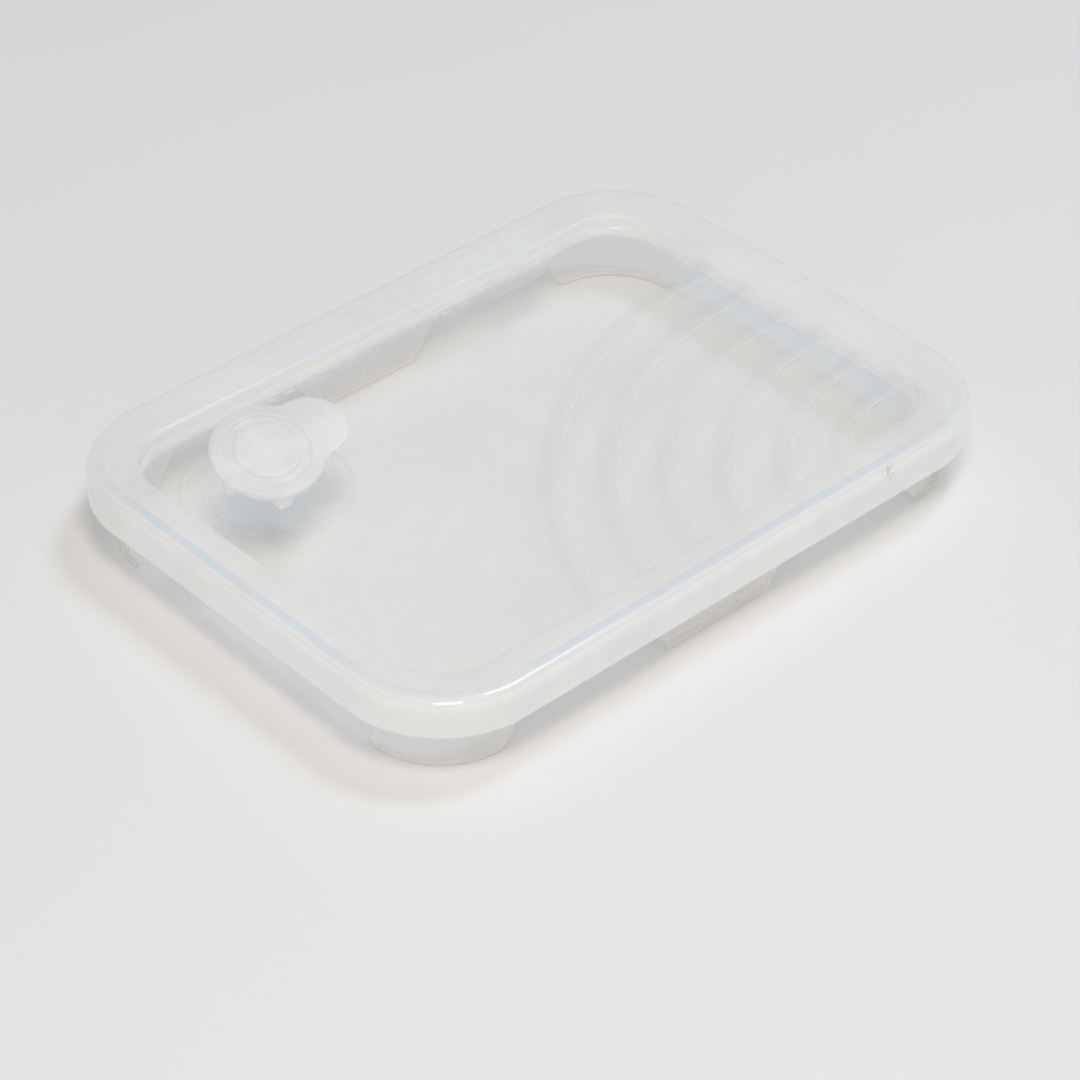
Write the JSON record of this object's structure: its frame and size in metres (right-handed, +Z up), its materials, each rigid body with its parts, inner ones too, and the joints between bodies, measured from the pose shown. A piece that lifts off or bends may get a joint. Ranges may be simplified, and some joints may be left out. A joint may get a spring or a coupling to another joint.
{
  "type": "vented silicone box lid",
  "caption": "Rectangular silicone lid with a hooded rim, hanging feet, a sunken clear panel with ripple lines, and a vent plug with a pull tab.",
  "frame": {"origin": "middle of the lid's outline, on the surface its six feet stand on", "axes": "+X along the lid, +Y across it, +Z up"},
  "size_m": [0.18, 0.1326, 0.0322],
  "materials": {
    "rim_silicone": "satin milky translucent silicone",
    "panel_silicone": "smooth nearly clear silicone",
    "foot_silicone": "satin nearly clear silicone",
    "plug_silicone": "satin milky translucent silicone"
  },
  "bodies": {
    "lid": {"rim_wall_front_left": "rim_silicone", "rim_wall_front": "rim_silicone", "rim_wall_front_right": "rim_silicone", "rim_wall_left": "rim_silicone", "rim_wall_right": "rim_silicone", "rim_wall_back_left": "rim_silicone", "rim_wall_back": "rim_silicone", "rim_wall_back_right": "rim_silicone", "rim_crown_front_left": "rim_silicone", "rim_crown_front": "rim_silicone", "rim_crown_front_right": "rim_silicone", "rim_crown_left": "rim_silicone", "rim_crown_right": "rim_silicone", "rim_crown_back_left": "rim_silicone", "rim_crown_back": "rim_silicone", "rim_crown_back_right": "rim_silicone", "inner_wall": "rim_silicone", "panel": "panel_silicone", "vent_seat": "panel_silicone", "vent_ring": "panel_silicone", "corner_foot_front_left": "foot_silicone", "corner_foot_back_left": "foot_silicone", "corner_foot_front_right": "foot_silicone", "corner_foot_back_right": "foot_silicone", "side_foot_front": "foot_silicone", "side_foot_back": "foot_silicone", "ripple_lines": "panel_silicone", "blank_pad": "panel_silicone", "bead_row": "panel_silicone"},
    "vent_plug": {"plug_flange": "plug_silicone", "plug_button": "plug_silicone", "plug_tab": "plug_silicone", "plug_stem": "plug_silicone"}
  },
  "joints": [
    {"name": "vent_rock", "type": "hinge", "parent": "lid", "child": "vent_plug", "pos_m": [-0.06465, -0.01077, 0.01835], "axis": [0.9806, -0.1959, 0], "range_deg": [-16, 15]}
  ]
}
